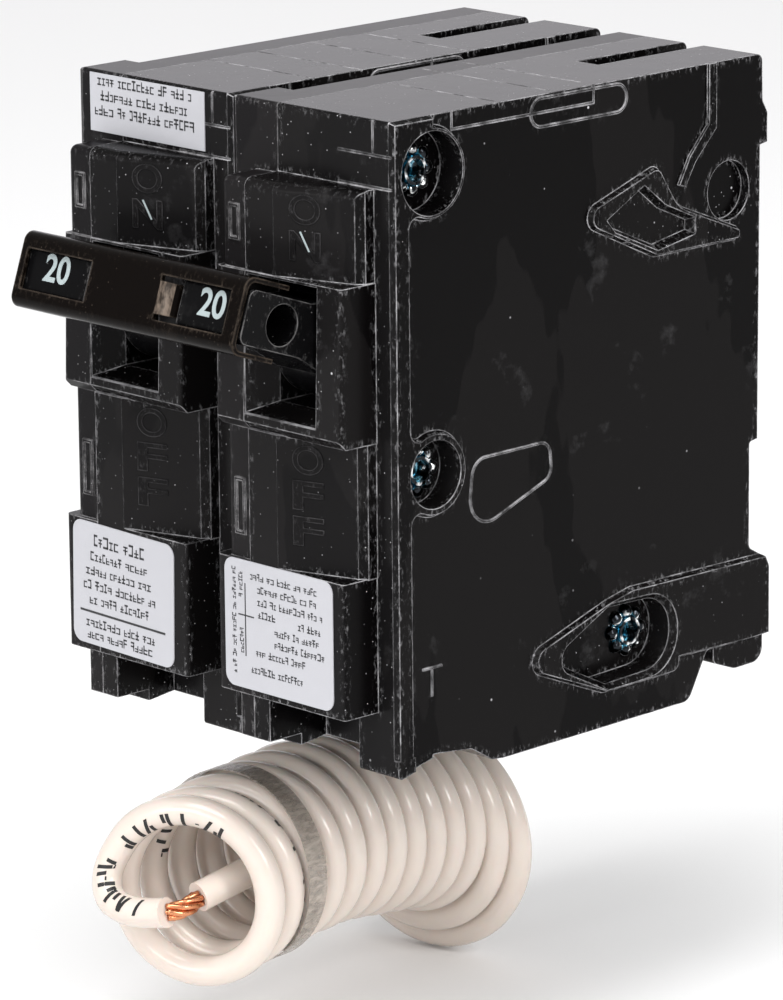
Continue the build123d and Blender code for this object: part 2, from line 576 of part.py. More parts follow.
def make_cage():
    """The box lug that draws the wire against the load strap."""
    cage = block(10.3, 18.9, 7.2, 16.2, 3.3, 11.4) - block(11.4, 17.8, 8.4, 15.0, 2.0, 12.0)
    return cage - rod_y(TERMINAL_X, SCREW_Z, 1.85, 7.0, 8.5)


def make_terminal_screw():
    """Slotted terminal screw with its head in the front channel."""
    screw = rod_y(TERMINAL_X, SCREW_Z, 2.9, 2.3, 3.75) + rod_y(TERMINAL_X, SCREW_Z, 1.8, 3.75, 9.9)
    return screw - block(TERMINAL_X - 4, TERMINAL_X + 4, 1.5, 3.1, SCREW_Z - 0.4, SCREW_Z + 0.4)


def make_braid(end):
    """Flexible braid from under the contact arm to the bimetal strip's head or, without one, to the load strap."""
    side = {"bimetal": [(14.4, 19.65, 31.5), (14.4, 19.65, 27.0)], "strap": [(14.4, 18.7, 24.0), (14.4, 18.7, 13.2)]}
    points = [(14.4, 17.2, 36.9), (14.4, 15.9, 32.8)] + side[end]
    return tube_along(points, bend_radii(points), 0.8)


# ---------------------------------------------------------------- labels


def make_label(left, top, width, height, y, corner=0, turn=0):
    """A thin label hung from its top left corner and turned clockwise about it."""
    plate = block(0, width, -0.12, 0, -height, 0)
    if corner:
        plate = fillet([e for e in plate.edges() if abs(e.length - 0.12) < 0.01], corner)
    return Pos(left, y, top) * Rot(0, turn, 0) * plate


# ---------------------------------------------------------------- the neutral lead, part coordinates

LEAD_X = -POLE + 5.1
LEAD_TAIL = [(-11.5, 44.8, 29.4), (LEAD_X, 44.8, 29.4), (LEAD_X, 44.8, 9.5), (LEAD_X, 41.0, 3.4), (LEAD_X, 41.0, -6.0),
             (-22.4, 43.0, -13.5), (-22.4, 44.6, -19.0)]
COIL_FRONT = (-8.0, -1.2, -20.0)        # centre of the first turn
COIL_MID_FRONT = (-8.6, 6.4, -18.9)     # where the straight stack starts and ends
COIL_MID_REAR = (-11.9, 42.5, -20.7)
LEAD_HOOK = [(-16.6, -4.9, -16.8), (-16.5, -6.2, -20.2), (-13.8, -6.8, -22.4), (-10.2, -6.3, -22.3), (-7.0, -5.5, -21.3)]
STRANDS = [(-7.0, -5.5, -21.3), (-5.8, -3.5, -21.0), (-6.6, -1.0, -20.4)]
SLUG_START, SLUG_END = (-6.6, -1.0, -20.4), (-5.6, 6.4, -18.6)


def ring_tube(centre, towards, length, r_out, r_in):
    """A hollow cylinder that starts at a centre and runs towards a point for a length."""
    axis = Vector(*towards) - Vector(*centre)
    plane = Plane(origin=centre, z_dir=axis)
    return extrude(plane * (Circle(r_out) - Circle(r_in)), amount=length)


def make_coil():
    """The coil's outer shape: a tilted front turn, the straight stack of turns and the larger last loop."""
    r_out, r_in = COIL_R + WIRE_R, COIL_R - WIRE_R - 0.3
    front_aim = (COIL_FRONT[0] - 4.0, COIL_FRONT[1] + 9.0, COIL_FRONT[2] + 0.6)
    coil = ring_tube(COIL_FRONT, front_aim, 8.0, r_out, r_in)
    stack = (Vector(*COIL_MID_REAR) - Vector(*COIL_MID_FRONT)).length
    coil += ring_tube(COIL_MID_FRONT, COIL_MID_REAR, stack, r_out, r_in)
    coil += ring_tube((-13.4, 41.5, -23.8), (-12.8, 46.5, -23.8), 6.5, r_out + 2.8, r_in)
    return coil


def make_band():
    """The clear band round the coil behind its second turn."""
    centre, towards = (-8.75, 8.0, -18.97), COIL_MID_REAR
    return ring_tube(centre, towards, 1.9, COIL_R + WIRE_R + 0.4, COIL_R + WIRE_R + 0.08)


def lead_tube(points, r):
    radii = bend_radii(points)
    print("bends", [round(value, 1) for value in radii])
    return tube_along(points, radii, r)


# ---------------------------------------------------------------- all pieces

# grooves across the top of each pole: depth, left end, right end
TOP_LINES = {
    "left": [(12.9, SEAM, 24.7), (20.3, SEAM, 24.7), (28.7, SEAM, 24.7), (36.9, SEAM, 24.7)],
    "right": [(16.6, 9.0, 24.0), (25.3, 4.0, 24.0), (31.3, 4.3, 22.5)],
}


def save_shells():
    """The two halves of each pole's case."""
    hole = tube_along(LEAD_TAIL, bend_radii(LEAD_TAIL), WIRE_R + 0.05)
    for pole, left_edge in (("left", -POLE), ("right", 0.0)):
        lines = TOP_LINES[pole]
        base, cover = make_base(lines), make_cover(lines)
        if pole == "left":
            base -= trip_bar_holes()
            cover -= Pos(POLE, 0, 0) * hole
        else:
            cover -= Pos(-POLE, 0, 0) * trip_bar_holes()
        save(f"{pole}_pole_base", base, left_edge)
        save(f"{pole}_pole_cover", cover, left_edge)


def save_mechanisms():
    """The parts that both poles have."""
    for pole, left_edge in (("left", -POLE), ("right", 0.0)):
        protected = pole == "right"
        save(f"{pole}_handle", make_handle(), left_edge)
        save(f"{pole}_toggle_spring", make_toggle_spring(), left_edge)
        save(f"{pole}_contact_arm", make_arm(), left_edge)
        save(f"{pole}_moving_contact", make_moving_contact(), left_edge)
        save(f"{pole}_stationary_contact", make_stationary_contact(), left_edge)
        save(f"{pole}_cradle", make_cradle(), left_edge)
        save(f"{pole}_line_terminal", make_line_terminal(protected), left_edge)
        save(f"{pole}_arc_plates", make_arc_plates(), left_edge)
        save(f"{pole}_braid", make_braid("bimetal" if protected else "strap"), left_edge)
        save(f"{pole}_load_strap", make_load_strap(), left_edge)
        save(f"{pole}_terminal_cage", make_cage(), left_edge)
        save(f"{pole}_terminal_screw", make_terminal_screw(), left_edge)


def save_single_pieces():
    """What the breaker has only once."""
    save("case_rivets", make_rivets())
    save("handle_tie", make_tie())
    save("trip_bar", make_trip_bar())
    save("bimetal_strip", make_bimetal())
    save("magnet_yoke", make_yoke())
    save("armature", make_armature())
    save("left_front_label", make_label(-POLE + 3.3, 22.1, 17.0, 14.3, -FRONT_BLOCK, corner=1.4, turn=1.2))
    save("right_front_label", make_label(3.3, 22.3, 17.3, 14.6, -FRONT_BLOCK, corner=1.4))
    save("left_top_label", make_label(-23.3, 72.3, 19.0, 6.6, 0))


def save_lead():
    """The neutral lead, its coil and what is on it."""
    save("lead_tail", lead_tube(LEAD_TAIL, WIRE_R))
    save("lead_coil", make_coil())
    save("coil_band", make_band())
    save("lead_free_end", lead_tube(LEAD_HOOK, WIRE_R))
    save("bare_strands", lead_tube(STRANDS, CORE_R))
    save("insulation_slug", tube_along([SLUG_START, SLUG_END], None, WIRE_R))


save_shells()
save_mechanisms()
save_single_pieces()
save_lead()
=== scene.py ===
import random
from math import cos, pi, radians, sin

import bpy
from mathutils import Matrix, Vector


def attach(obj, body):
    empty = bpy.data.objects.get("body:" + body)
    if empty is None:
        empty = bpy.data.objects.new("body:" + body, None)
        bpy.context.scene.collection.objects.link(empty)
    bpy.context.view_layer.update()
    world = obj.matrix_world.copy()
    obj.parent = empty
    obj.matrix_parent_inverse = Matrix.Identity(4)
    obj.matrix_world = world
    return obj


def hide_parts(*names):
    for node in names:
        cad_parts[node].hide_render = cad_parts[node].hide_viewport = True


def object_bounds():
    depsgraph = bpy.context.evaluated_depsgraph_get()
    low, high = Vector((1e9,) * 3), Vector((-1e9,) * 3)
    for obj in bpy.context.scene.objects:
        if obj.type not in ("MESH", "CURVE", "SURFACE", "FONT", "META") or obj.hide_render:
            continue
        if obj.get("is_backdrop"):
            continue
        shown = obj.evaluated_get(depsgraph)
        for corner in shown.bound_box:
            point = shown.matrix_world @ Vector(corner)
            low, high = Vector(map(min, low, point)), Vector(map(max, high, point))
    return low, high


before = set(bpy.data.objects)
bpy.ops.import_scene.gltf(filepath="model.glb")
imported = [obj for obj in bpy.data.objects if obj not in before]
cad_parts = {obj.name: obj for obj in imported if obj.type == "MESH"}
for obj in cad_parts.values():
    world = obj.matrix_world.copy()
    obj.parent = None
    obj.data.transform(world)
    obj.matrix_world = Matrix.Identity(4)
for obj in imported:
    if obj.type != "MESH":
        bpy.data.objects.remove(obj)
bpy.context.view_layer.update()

# Points are given as in part.py: x across the poles, y the depth behind the front face, z above the case
# bottom, in millimetres. spot() turns them into the frame.
SHIFT = Vector((0, -59.3, -9.5))
POLE = 25.4
POLE_LEFT = {"left": -POLE, "right": 0.0}


def spot(x, y, z):
    return (Vector((x, y, z)) + SHIFT) / 1000


# ---------------------------------------------------------------- camera

CAMERA_AT = (474.9, -430.4, 188.6)
CAMERA_AZIMUTH, CAMERA_ELEVATION, CAMERA_ROLL = 46.29, 14.17, 0.568
CAMERA_LENS = 214.7


def make_camera():
    azimuth, elevation, roll = radians(CAMERA_AZIMUTH), radians(CAMERA_ELEVATION), radians(CAMERA_ROLL)
    back = Vector((sin(azimuth) * cos(elevation), -cos(azimuth) * cos(elevation), sin(elevation)))
    right = Vector((cos(azimuth), sin(azimuth), 0))
    up = back.cross(right)
    rolled_right = right * cos(roll) - up * sin(roll)
    rolled_up = right * sin(roll) + up * cos(roll)
    data = bpy.data.cameras.new("camera")
    data.lens = CAMERA_LENS
    data.sensor_width = 36
    data.clip_start, data.clip_end = 0.01, 20
    camera = bpy.data.objects.new("camera", data)
    bpy.context.collection.objects.link(camera)
    camera.matrix_world = Matrix((rolled_right, rolled_up, back)).transposed().to_4x4()
    camera.location = spot(*CAMERA_AT)
    bpy.context.scene.camera = camera


make_camera()

# ---------------------------------------------------------------- node helpers


def new_material(name):
    """A new material with its node tree and its Principled shader."""
    material = bpy.data.materials.new(name)
    material.use_nodes = True
    tree = material.node_tree
    return material, tree, tree.nodes["Principled BSDF"]


def add(tree, kind, **settings):
    """A new node; each setting is one of its properties or, failing that, one of its inputs."""
    node = tree.nodes.new(kind)
    for key, value in settings.items():
        if key in node.bl_rna.properties:
            setattr(node, key, value)
        else:
            node.inputs[key.replace("_", " ")].default_value = value
    return node


def join(tree, output, socket):
    tree.links.new(output, socket)


def millimetres(tree, stretch=(1, 1, 1)):
    """The object's own coordinates in millimetres, each axis times its stretch."""
    coords = add(tree, "ShaderNodeTexCoord")
    mapping = add(tree, "ShaderNodeMapping")
    mapping.inputs["Scale"].default_value = [1000 * value for value in stretch]
    join(tree, coords.outputs["Object"], mapping.inputs["Vector"])
    return mapping.outputs["Vector"]


def noise(tree, scale, detail=3.0, rough=0.55, stretch=(1, 1, 1)):
    """Noise in the object's own coordinates, in millimetres."""
    node = add(tree, "ShaderNodeTexNoise", Scale=scale, Detail=detail, Roughness=rough)
    join(tree, millimetres(tree, stretch), node.inputs["Vector"])
    return node.outputs["Fac"]


def ramp(tree, value, low, high, start=0.0, end=1.0):
    """Maps value from low..high to start..end, clamped."""
    node = add(tree, "ShaderNodeMapRange")
    node.inputs["From Min"].default_value = low
    node.inputs["From Max"].default_value = high
    node.inputs["To Min"].default_value = start
    node.inputs["To Max"].default_value = end
    join(tree, value, node.inputs["Value"])
    return node.outputs["Result"]


def maths(tree, operation, a, b):
    node = add(tree, "ShaderNodeMath", operation=operation)
    for socket, value in zip(node.inputs, (a, b)):
        if isinstance(value, (int, float)):
            socket.default_value = value
        else:
            join(tree, value, socket)
    return node.outputs[0]


def times(tree, first, *others):
    """The product of several values."""
    for value in others:
        first = maths(tree, "MULTIPLY", first, value)
    return first


def highest(tree, first, *others):
    """The largest of several values."""
    for value in others:
        first = maths(tree, "MAXIMUM", first, value)
    return first


def mix_colour(tree, factor, a, b):
    node = add(tree, "ShaderNodeMix", data_type="RGBA")
    for socket, value in ((node.inputs[0], factor), (node.inputs[6], a), (node.inputs[7], b)):
        if isinstance(value, (int, float)):
            socket.default_value = value
        elif isinstance(value, tuple):
            socket.default_value = (*value, 1.0)
        else:
            join(tree, value, socket)
    return node.outputs[2]


def bump(tree, shader, height, distance, normal=None):
    node = add(tree, "ShaderNodeBump", Strength=1.0, Distance=distance)
    join(tree, height, node.inputs["Height"])
    if normal:
        join(tree, normal, node.inputs["Normal"])
    join(tree, node.outputs["Normal"], shader.inputs["Normal"])


# ---------------------------------------------------------------- materials


def specks(tree, scale, size, chance):
    """Scattered round specks of random strength, 0 between them; size is a share of the spacing."""
    cells = add(tree, "ShaderNodeTexVoronoi", Scale=scale)
    join(tree, millimetres(tree), cells.inputs["Vector"])
    parts = add(tree, "ShaderNodeSeparateColor")
    join(tree, cells.outputs["Color"], parts.inputs["Color"])
    near = ramp(tree, cells.outputs["Distance"], size, size * 0.5)
    chosen = maths(tree, "GREATER_THAN", parts.outputs["Red"], 1 - chance)
    return times(tree, near, chosen, parts.outputs["Green"])


def edge_mask(tree, radius, start, full):
    """1 where a surface turns within a radius in millimetres, 0 on the flat; also the softened normal."""
    soft = add(tree, "ShaderNodeBevel", samples=6, Radius=radius / 1000)
    flat = add(tree, "ShaderNodeNewGeometry")
    facing = add(tree, "ShaderNodeVectorMath", operation="DOT_PRODUCT")
    join(tree, soft.outputs["Normal"], facing.inputs[0])
    join(tree, flat.outputs["Normal"], facing.inputs[1])
    return ramp(tree, facing.outputs["Value"], start, full), soft.outputs["Normal"]


def inside_box(tree, low, high):
    """1 inside a box between two corners, 0 outside it."""
    coords = add(tree, "ShaderNodeTexCoord")
    parts = add(tree, "ShaderNodeSeparateXYZ")
    join(tree, coords.outputs["Object"], parts.inputs[0])
    mask = 1.0
    for axis, start, end in zip("XYZ", spot(*low), spot(*high)):
        above = maths(tree, "GREATER_THAN", parts.outputs[axis], start)
        below = maths(tree, "LESS_THAN", parts.outputs[axis], end)
        mask = times(tree, mask, above, below)
    return mask


def wear_marks(tree, edges, rub, dust):
    """How marked a surface is, from 0: rubbed edges, scuffs beside them, dust in two sizes and smears."""
    broken = ramp(tree, noise(tree, 0.45, 5, 0.65), 0.40, 0.62, 0.15, 0.9)
    rubbed = times(tree, edges, broken, rub)
    beside, _ = edge_mask(tree, 1.5, 0.995, 0.93)
    scuffs = ramp(tree, noise(tree, 2.2, 4, 0.7, (1.0, 1.0, 0.5)), 0.54, 0.72, 0.0, 0.45 * dust)
    scuffed = times(tree, beside, scuffs)
    fine = times(tree, specks(tree, 1.3, 0.11, 0.6), 0.9 * dust)
    coarse = times(tree, specks(tree, 0.28, 0.05, 0.5), dust)
    smears = ramp(tree, noise(tree, 0.10, 6, 0.7), 0.60, 0.74, 0.0, 0.05 * dust)
    return highest(tree, rubbed, scuffed, fine, coarse, smears)


def stained_body(tree, base, wear_and_sheen, stain, haze):
    """The bare colour, lighter by stain in long drips, and mixed towards the paler colour where it faces the
    front, a painted sheen.
    """
    drips = ramp(tree, noise(tree, 0.055, 4, 0.5, (1.0, 1.0, 0.35)), 0.515, 0.525)
    stained = (base[0] + stain, base[1] + stain * 0.92, base[2] + stain * 0.9)
    normal = add(tree, "ShaderNodeNewGeometry").outputs["Normal"]
    parts = add(tree, "ShaderNodeSeparateXYZ")
    join(tree, normal, parts.inputs[0])
    # painted sheen: faces turned to the front are mixed towards the paler colour
    front = ramp(tree, parts.outputs["Y"], -0.6, -0.95, 0.0, haze)
    return mix_colour(tree, front, mix_colour(tree, drips, base, stained), wear_and_sheen)


THERMOSET_IOR = 1.14        # low, for reflections weaker than a clean gloss
SNAP_TAB_SHEEN = ((4.9, -20.0, 51.0), (6.7, -8.0, 55.0))      # corners of the box round the tie's snap tab, where a paler painted sheen goes
# the colour of the painted sheen on the snap tab
SNAP_TAB_SHEEN_COLOUR = (0.16, 0.125, 0.10)


def thermoset(name, base, wear_and_sheen, rough=0.3, edge=0.22, rub=1.0, dust=1.0, stain=0.004, haze=0.0,
              polished=None):
    """Moulded thermoset with worn edges and dust, a painted sheen on faces turned to the front, and a paler,
    streaked painted sheen inside a box where one is given.
    """
    material, tree, shader = new_material(name)
    edges, soft_normal = edge_mask(tree, edge, 0.995, 0.94)
    marks = wear_marks(tree, edges, rub, dust)
    body = stained_body(tree, base, wear_and_sheen, stain, haze)
    if polished:
        # painted sheen: streaks of a paler colour over the tab's lit half
        sheen_streaks = ramp(tree, noise(tree, 1.2, 3, 0.6, (1.0, 1.0, 0.25)), 0.42, 0.62, 0.15, 1.0)
        body = mix_colour(tree, times(tree, inside_box(tree, *polished), sheen_streaks), body, SNAP_TAB_SHEEN_COLOUR)
    join(tree, mix_colour(tree, marks, body, wear_and_sheen), shader.inputs["Base Color"])
    join(tree, ramp(tree, marks, 0.0, 0.5, rough, 0.6), shader.inputs["Roughness"])
    shader.inputs["IOR"].default_value = THERMOSET_IOR
    bump(tree, shader, noise(tree, 0.30, 3), 0.00002, soft_normal)
    return material


CRIMPED_ENDS = ((20, -10, -10), (26, 70, 80))      # the rivets' rolled ends, on the right side of the case, where painted reflections go


def crimped_metal(name, dark, bright, hollow, rough):
    """Plated metal: painted reflections, dark to bright, on the rivets' rolled ends, even elsewhere, and a
    dark blue painted shade in its hollows.
    """
    material, tree, shader = new_material(name)
    # painted reflections: a dark to bright pattern from the facing weight and the lumps, standing in for
    # reflected studio light
    turned = add(tree, "ShaderNodeLayerWeight", Blend=0.5)
    lumps = noise(tree, 0.9, 2, 0.4)
    lumps_and_glints = maths(tree, "ADD", lumps, maths(tree, "MULTIPLY", turned.outputs["Facing"], 0.55))
    painted_glints = mix_colour(tree, ramp(tree, lumps_and_glints, 0.66, 0.82), dark, bright)
    flat = tuple(value * 0.6 for value in bright)
    body = mix_colour(tree, inside_box(tree, *CRIMPED_ENDS), flat, painted_glints)
    # painted shade: where ambient occlusion finds a hollow or a gap between the petals, the colour turns dark
    # blue
    hidden = add(tree, "ShaderNodeAmbientOcclusion", samples=8, Distance=0.0012)
    painted_shade = ramp(tree, hidden.outputs["AO"], 0.62, 0.45)
    join(tree, mix_colour(tree, painted_shade, body, hollow), shader.inputs["Base Color"])
    shader.inputs["Metallic"].default_value = 1.0
    shader.inputs["Roughness"].default_value = rough
    bump(tree, shader, lumps, 0.0003)
    return material


def plain(name, colour, rough, metal=0.0, scale=1.2, spread=0.06):
    """An even surface with a little life in its colour and gloss."""
    material, tree, shader = new_material(name)
    variation = noise(tree, scale, 3)
    darker = tuple(value * (1 - 2 * spread) for value in colour)
    join(tree, mix_colour(tree, variation, darker, colour), shader.inputs["Base Color"])
    join(tree, ramp(tree, variation, 0.3, 0.7, rough * 0.85, rough * 1.2), shader.inputs["Roughness"])
    shader.inputs["Metallic"].default_value = metal
    shader.inputs["IOR"].default_value = 1.45
    bump(tree, shader, variation, 0.00001)
    return material


def insulation(name, colour):
    """Glossy cord insulation, slightly translucent."""
    material, tree, shader = new_material(name)
    variation = noise(tree, 0.25, 4)
    darker = tuple(value * 0.93 for value in colour)
    join(tree, mix_colour(tree, variation, darker, colour), shader.inputs["Base Color"])
    join(tree, ramp(tree, variation, 0.35, 0.65, 0.16, 0.26), shader.inputs["Roughness"])
    shader.inputs["IOR"].default_value = 1.5
    shader.inputs["Subsurface Weight"].default_value = 0.12
    shader.inputs["Subsurface Scale"].default_value = 0.001
    bump(tree, shader, noise(tree, 0.5, 2), 0.00004)
    return material


def band_film(name, colour):
    """Greyish film, partly see-through, and more solid where it is scratched."""
    material, tree, shader = new_material(name)
    scratches = ramp(tree, noise(tree, 1.4, 4, 0.7, (1.0, 0.3, 1.0)), 0.40, 0.70)
    darker = tuple(value * 0.6 for value in colour)
    join(tree, mix_colour(tree, scratches, darker, colour), shader.inputs["Base Color"])
    join(tree, ramp(tree, scratches, 0, 1, 0.5, 0.8), shader.inputs["Alpha"])
    shader.inputs["Roughness"].default_value = 0.22
    bump(tree, shader, scratches, 0.00003)
    return material


def make_materials():
    return {
        # several thermosets below get a painted sheen on faces turned to the front
        "case": thermoset("case_black", (0.0018, 0.0015, 0.0016), (0.56, 0.55, 0.57), rough=0.26, edge=0.19,
                          stain=0.003, haze=0.009),
        "letters": thermoset("letters_black", (0.0018, 0.0015, 0.0016), (0.3, 0.29, 0.3), rough=0.26, rub=0.2,
                             dust=0.6, stain=0.0, haze=0.018),
        "cover": thermoset("cover_grey", (0.0050, 0.0044, 0.0050), (0.46, 0.45, 0.46), rough=0.32,
                           haze=0.008),
        "handle": thermoset("handle_black", (0.0030, 0.0029, 0.0032), (0.30, 0.29, 0.29), rough=0.25, rub=0.7,
                            dust=0.6, stain=0.0),
        "tie": thermoset("tie_brown", (0.0026, 0.0016, 0.0012), (0.20, 0.155, 0.12), rough=0.20, edge=0.35,
                         rub=0.4, dust=0.6, stain=0.0, polished=SNAP_TAB_SHEEN),
        "bar": plain("bar_black", (0.012, 0.012, 0.012), 0.5),
        "steel": plain("plated_steel", (0.42, 0.42, 0.43), 0.34, metal=1.0),
        "spring": plain("spring_steel", (0.5, 0.5, 0.52), 0.22, metal=1.0),
        "copper": plain("bare_copper", (0.72, 0.30, 0.15), 0.26, metal=1.0),
        "silver": plain("silver_face", (0.8, 0.79, 0.76), 0.2, metal=1.0),
        "tin": plain("tin_plate", (0.62, 0.62, 0.61), 0.3, metal=1.0),
        "zinc": crimped_metal("bright_zinc", (0.02, 0.022, 0.025), (0.95, 0.96, 0.97),
                              hollow=(0.07, 0.24, 0.32), rough=0.14),
        "bimetal": plain("bimetal", (0.5, 0.45, 0.36), 0.3, metal=1.0),
        "label": plain("label_film", (0.46, 0.46, 0.49), 0.42, scale=0.25, spread=0.02),
        "ink": plain("label_ink", (0.02, 0.02, 0.022), 0.5),
        "paint": plain("pale_paint", (0.37, 0.43, 0.44), 0.4, spread=0.06),
        "lead": insulation("lead_insulation", (0.70, 0.615, 0.55)),
        "band": band_film("band_film", (0.50, 0.44, 0.38)),
        "print": plain("lead_print", (0.012, 0.012, 0.012), 0.45),
    }


MATERIALS = make_materials()

# the material of each node, by its name without the side
NODE_MATERIALS = {
    "pole_base": "case", "pole_cover": "cover", "case_rivets": "zinc",
    "handle": "handle", "handle_tie": "tie", "toggle_spring": "spring", "trip_bar": "bar", "cradle": "steel",
    "contact_arm": "copper", "moving_contact": "silver", "stationary_contact": "silver",
    "arc_plates": "steel", "line_terminal": "copper", "braid": "copper", "load_strap": "copper",
    "terminal_cage": "tin", "terminal_screw": "zinc",
    "bimetal_strip": "bimetal", "magnet_yoke": "steel", "armature": "steel",
    "front_label": "label", "top_label": "label",
    "lead_tail": "lead", "lead_coil": "lead", "lead_free_end": "lead", "insulation_slug": "lead",
    "bare_strands": "copper", "coil_band": "band",
}


def dress_nodes():
    """Gives every carried-over node its material."""
    for name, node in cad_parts.items():
        key = name.replace("left_", "").replace("right_", "")
        node.data.materials.clear()
        node.data.materials.append(MATERIALS[NODE_MATERIALS[key]])


dress_nodes()

# ---------------------------------------------------------------- the neutral lead

WIRE_R = 1.75
STEPS = 16                  # control points in each turn
CONTROL_GROWTH = 1.015      # the spline runs inside its control points by this much
LEAD_X = -POLE + 5.1
TAIL = [
    (-11.5, 44.8, 29.4), (LEAD_X, 44.8, 29.4), (LEAD_X, 44.8, 9.5), (LEAD_X, 41.0, 3.4),
    (LEAD_X, 41.0, -6.0),
]
DROP = (-23.6, 41.4, -13.5)     # on the way from the case down to the coil
# each turn from the rear to the front: centre x, y, z, radius and the turn of its face towards +X, in degrees;
# in places neighbouring turns lie closer than the lead is thick, so they overlap: by up to 1.8 mm at the
# rear left, where the drop meets the first turn, and by 0.5 mm or more between the two front turns
TURNS = [
    (-13.4, 42.8, -23.9, 12.4, 9), (-12.6, 39.7, -21.8, 11.0, 9.5), (-11.7, 36.8, -20.0, 9.6, 8.5),
    (-11.3, 33.4, -19.6, 9.45, 7.5), (-10.9, 29.9, -19.1, 9.45, 7), (-10.45, 26.3, -18.6, 9.45, 6.5),
    (-10.05, 22.8, -18.1, 9.45, 6.5), (-9.6, 19.0, -17.8, 9.45, 8), (-9.2, 15.0, -18.0, 9.45, 10.5),
    (-8.8, 11.0, -18.2, 9.45, 14), (-8.6, 6.9, -18.8, 9.45, 18), (-8.4, 3.0, -19.5, 9.6, 22),
    (-8.0, -1.0, -20.2, 9.8, 26),
]
# from the left of the front turn to the cut end
HOOK = [
    (-16.9, -5.8, -19.0), (-15.7, -6.6, -21.4), (-12.7, -6.6, -22.1), (-9.6, -6.0, -21.9),
    (-7.0, -5.5, -21.3),
]
# the bare strands, from just inside the cut end to the slug of insulation
BARE = [(-7.3, -5.6, -21.4), (-6.4, -4.4, -21.2), (-5.9, -3.0, -20.9), (-6.5, -0.8, -20.35)]


def turn_at(position):
    """The coil's centre, radius and face angle at a fractional turn, counted from the rear."""
    position = min(max(position, 0.0), len(TURNS) - 1.0)
    index = min(int(position), len(TURNS) - 2)
    share = position - index
    return [a + (b - a) * share for a, b in zip(TURNS[index], TURNS[index + 1])]


def coil_points():
    """Control points from the left of the rear turn, down and round, to the left of the front turn."""
    points = []
    for step in range(STEPS * len(TURNS)):
        turns = step / STEPS
        x, y, z, radius, face = turn_at(turns - 0.5)
        angle = pi + 2 * pi * turns
        across = Vector((cos(radians(face)), sin(radians(face)), 0))
        reach = radius * CONTROL_GROWTH
        points.append(Vector((x, y, z)) + across * reach * cos(angle) + Vector((0, 0, reach * sin(angle))))
    return points


def nurbs(name, points, diameter):
    """A round cord on one smooth open spline with those control points, given in millimetres."""
    data = bpy.data.curves.new(name, "CURVE")
    data.dimensions = "3D"
    data.bevel_depth = diameter / 2000
    data.bevel_resolution = 6
    data.resolution_u = 6
    data.use_fill_caps = True
    spline = data.splines.new("NURBS")
    spline.points.add(len(points) - 1)
    for control, point in zip(spline.points, points):
        control.co = (*spot(*point), 1.0)
    spline.order_u = 3
    spline.use_endpoint_u = True
    obj = bpy.data.objects.new(name, data)
    bpy.context.collection.objects.link(obj)
    return obj


def line_of(obj):
    """Points along a cord's own line, in metres, from a copy with no thickness."""
    copy = obj.copy()
    copy.data = obj.data.copy()
    copy.data.bevel_depth = 0
    bpy.context.collection.objects.link(copy)
    bpy.context.view_layer.update()
    mesh = bpy.data.meshes.new_from_object(copy.evaluated_get(bpy.context.evaluated_depsgraph_get()))
    points = [vertex.co.copy() for vertex in mesh.vertices]
    bpy.data.objects.remove(copy)
    bpy.data.meshes.remove(mesh)
    return points


def make_lead():
    """The whole lead as one cord, from inside the left pole to its cut end."""
    points = [*TAIL, DROP, *coil_points(), *HOOK]
    lead = nurbs("neutral_lead", points, 2 * WIRE_R)
    lead.data.materials.append(MATERIALS["lead"])
    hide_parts("lead_tail", "lead_coil", "lead_free_end")
    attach(lead, "case")
    return lead


def frames_along(line):
    """Points along a line with their directions and the distance run so far."""
    run = 0.0
    frames = []
    for before, at, after in zip(line, line[1:], line[2:]):
        run += (at - before).length
        frames.append((at, (after - before).normalized(), run))
    return frames


def mesh_piece(name, points, faces, material, body="case"):
    """A mesh from points in metres, which rides on a body."""
    mesh = bpy.data.meshes.new(name)
    mesh.from_pydata([tuple(point) for point in points], [], faces)
    mesh.materials.append(material)
    mesh.validate()
    obj = bpy.data.objects.new(name, mesh)
    bpy.context.collection.objects.link(obj)
    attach(obj, body)
    return obj


def tube_mesh(name, lines, radius, material, sides=10):
    """Round closed tubes along lines of points."""
    points, faces = [], []
    for line in lines:
        first = len(points)
        side = None
        for index, at in enumerate(line):
            before, after = line[max(index - 1, 0)], line[min(index + 1, len(line) - 1)]
            way = (after - before).normalized()
            side = (side - way * side.dot(way)).normalized() if side else way.orthogonal().normalized()
            up = way.cross(side)
            for k in range(sides):
                angle = 2 * pi * k / sides
                points.append(at + (side * cos(angle) + up * sin(angle)) * radius)
        for ring in range(len(line) - 1):
            for k in range(sides):
                a, b = first + ring * sides + k, first + ring * sides + (k + 1) % sides
                faces.append((a, b, b + sides, a + sides))
        faces.append(tuple(first + k for k in reversed(range(sides))))
        faces.append(tuple(first + (len(line) - 1) * sides + k for k in range(sides)))
    obj = mesh_piece(name, points, faces, material)
    for polygon in obj.data.polygons:
        polygon.use_smooth = len(polygon.vertices) == 4
    return obj


STRAND_R = 0.36
STRAND_LAY = 0.74           # distance of the outer strands from the middle one
STRAND_TWIST = 0.55         # radians per millimetre


def make_strands():
    """Seven twisted copper strands between the lead's cut end and the slug of insulation."""
    route = nurbs("strand_route", BARE, 1)
    middle = line_of(route)
    bpy.data.objects.remove(route)
    lines = [middle]
    for strand in range(6):
        line = []
        side = None
        for at, way, run in frames_along(middle):
            side = (side - way * side.dot(way)).normalized() if side else way.orthogonal().normalized()
            angle = 2 * pi * strand / 6 + STRAND_TWIST * run * 1000
            line.append(at + (side * cos(angle) + way.cross(side) * sin(angle)) * STRAND_LAY / 1000)
        lines.append(line)
    strands = tube_mesh("twisted_strands", lines, STRAND_R / 1000, MATERIALS["copper"])
    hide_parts("bare_strands")
    return strands


